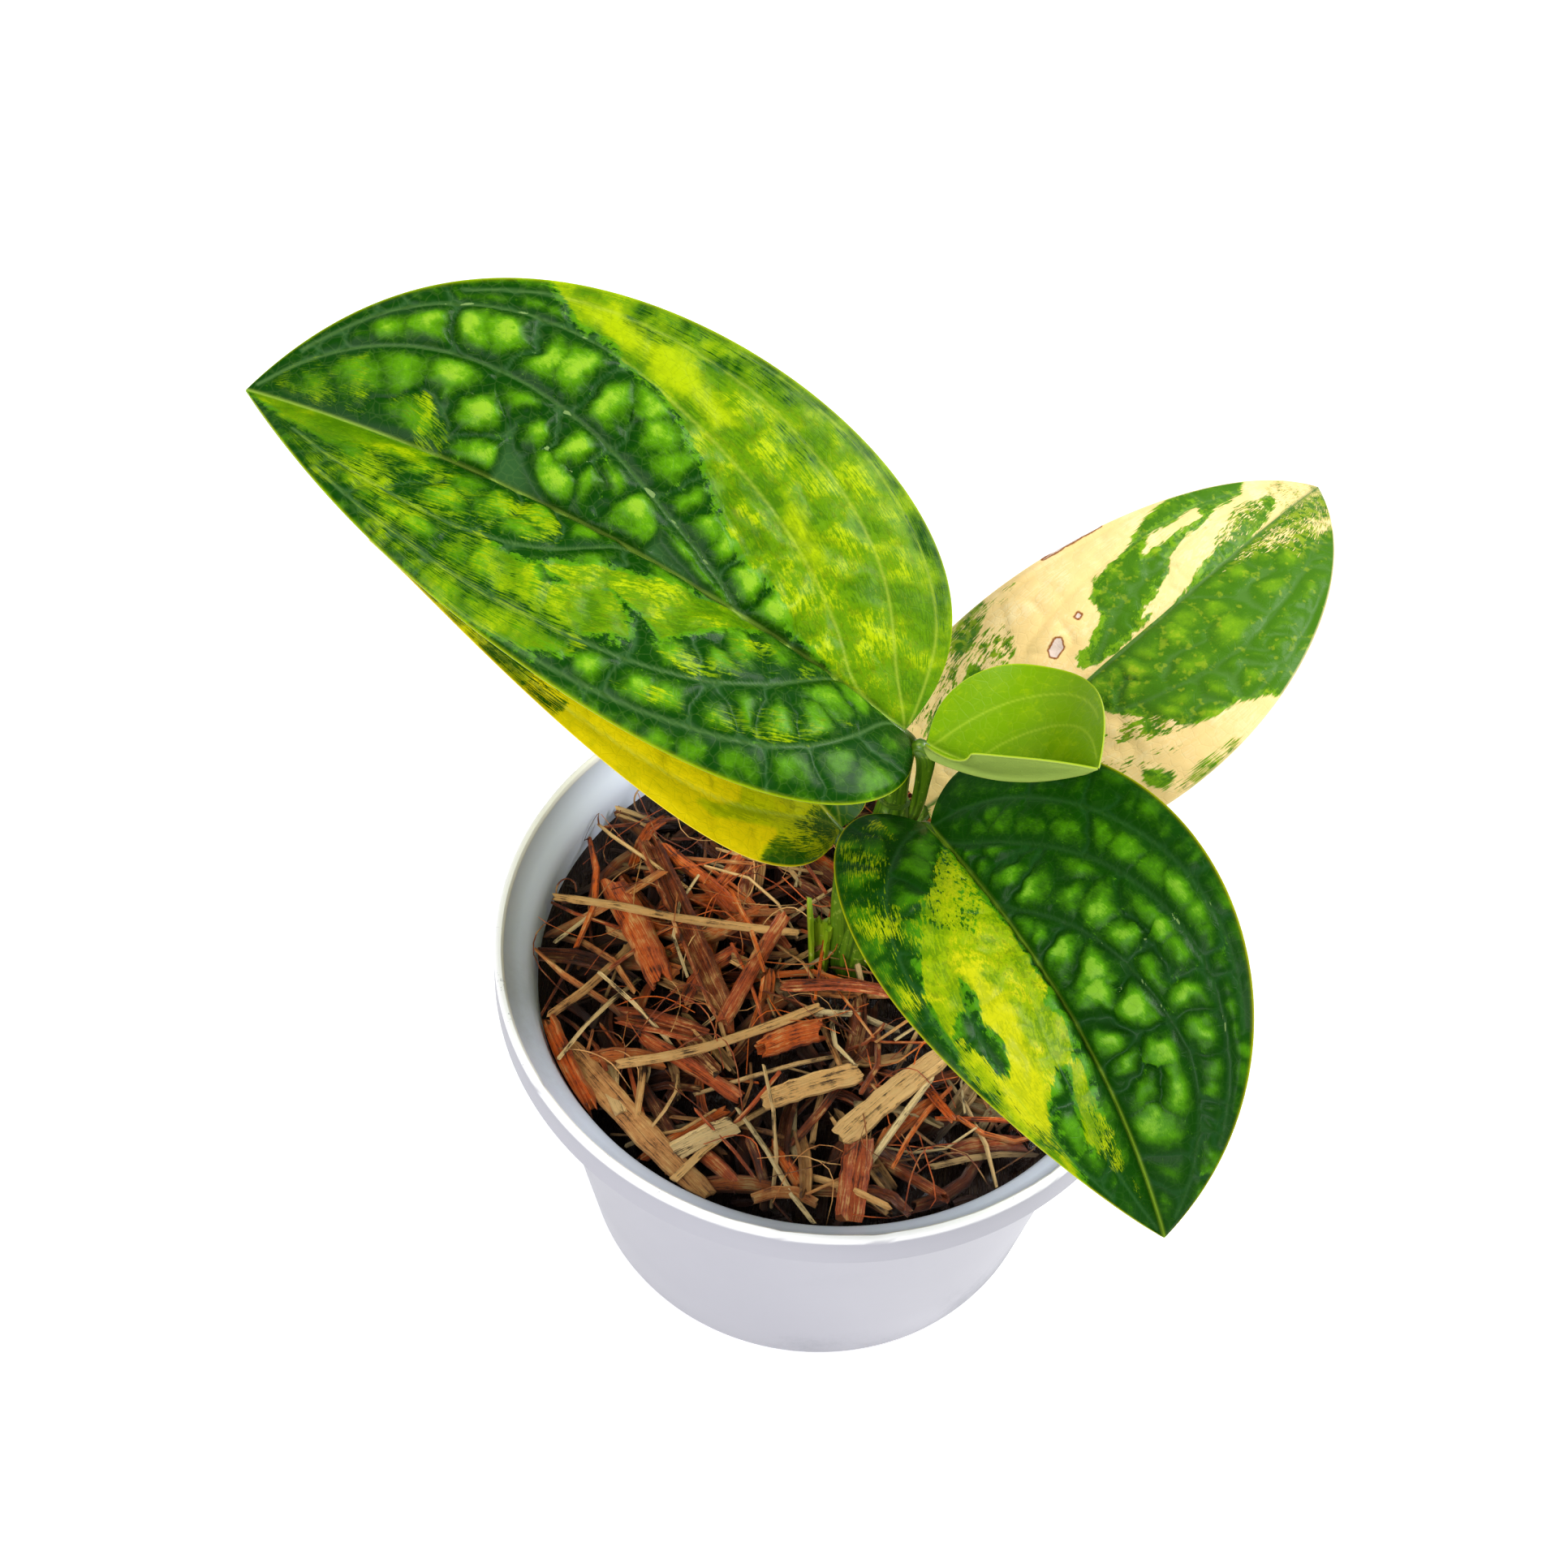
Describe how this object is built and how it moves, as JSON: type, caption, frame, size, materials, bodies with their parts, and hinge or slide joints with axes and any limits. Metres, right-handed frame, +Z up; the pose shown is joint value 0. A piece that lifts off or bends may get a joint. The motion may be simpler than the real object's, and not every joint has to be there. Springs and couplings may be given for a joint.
{
  "type": "potted variegated monstera",
  "caption": "Variegated Monstera karstenianum with broad quilted leaves on a short leaning stem, planted in chopped husk in a tapered white nursery pan with a collared rim.",
  "frame": {"origin": "centre of the pan's flat underside", "axes": "+Z up out of the pan, -Y towards the front of the picture, +X to its right"},
  "size_m": [0.2386, 0.1953, 0.2058],
  "materials": {
    "white_plastic": "satin",
    "chopped_husk": "matte",
    "green_stem": "satin",
    "cut_stalk": "satin",
    "leaf_green_lime": "satin",
    "leaf_golden": "satin",
    "leaf_cream": "satin",
    "leaf_green_yellow": "satin",
    "leaf_lime": "satin"
  },
  "bodies": {
    "root": {"pot": "white_plastic", "potting_mix": "chopped_husk", "stem": "green_stem", "cut_stalk": "cut_stalk", "leaf_large": "leaf_green_lime", "leaf_left": "leaf_golden", "leaf_right": "leaf_cream", "leaf_front": "leaf_green_yellow", "leaf_young": "leaf_lime"}
  },
  "joints": []
}
